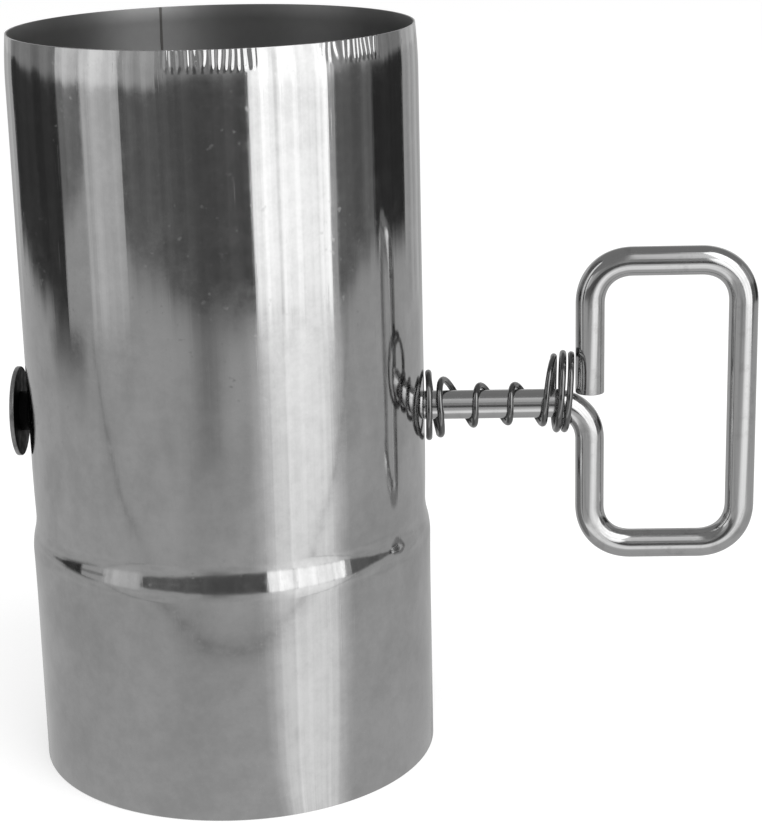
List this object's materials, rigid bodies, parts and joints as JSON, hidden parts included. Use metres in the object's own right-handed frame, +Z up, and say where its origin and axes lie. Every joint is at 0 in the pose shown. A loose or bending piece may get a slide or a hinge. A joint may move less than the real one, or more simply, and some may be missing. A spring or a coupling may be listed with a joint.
{
  "type": "stove pipe damper",
  "caption": "Short stainless flue pipe with a socket end and a drawn-in spigot, and a round damper plate turned by a spring-loaded bar bent into a loop handle.",
  "frame": {"origin": "on the pipe's axis, at the mouth of the socket that the part stands on", "axes": "+Z up the flue along the pipe's axis, +X out along the spindle to the handle"},
  "size_m": [0.2075, 0.1122, 0.205],
  "materials": {
    "pipe_stainless": "bright rolled stainless sheet",
    "bar_steel": "drawn bright steel bar",
    "spring_steel": "dark drawn spring wire",
    "plate_stainless": "matt rolled stainless sheet",
    "weld_steel": "as-welded plug",
    "black_oxide": "blackened steel"
  },
  "bodies": {
    "pipe": {"pipe_body": "pipe_stainless"},
    "spring": {"spring": "spring_steel"},
    "spindle": {"spindle": "bar_steel", "damper_plate": "plate_stainless", "plate_plug_welds": "weld_steel", "end_collar": "black_oxide", "end_washer": "black_oxide"}
  },
  "joints": [
    {"name": "turn", "type": "hinge", "parent": "pipe", "child": "spring", "pos_m": [0, 0, 0.099], "axis": [1, 0, 0], "continuous": true},
    {"name": "push_in", "type": "slide", "parent": "spring", "child": "spindle", "axis": [1, 0, 0], "range_m": [-0.002, 0], "stiffness_N_per_m": 1500, "springref_m": 0.01, "deforming": ["spring"]}
  ]
}
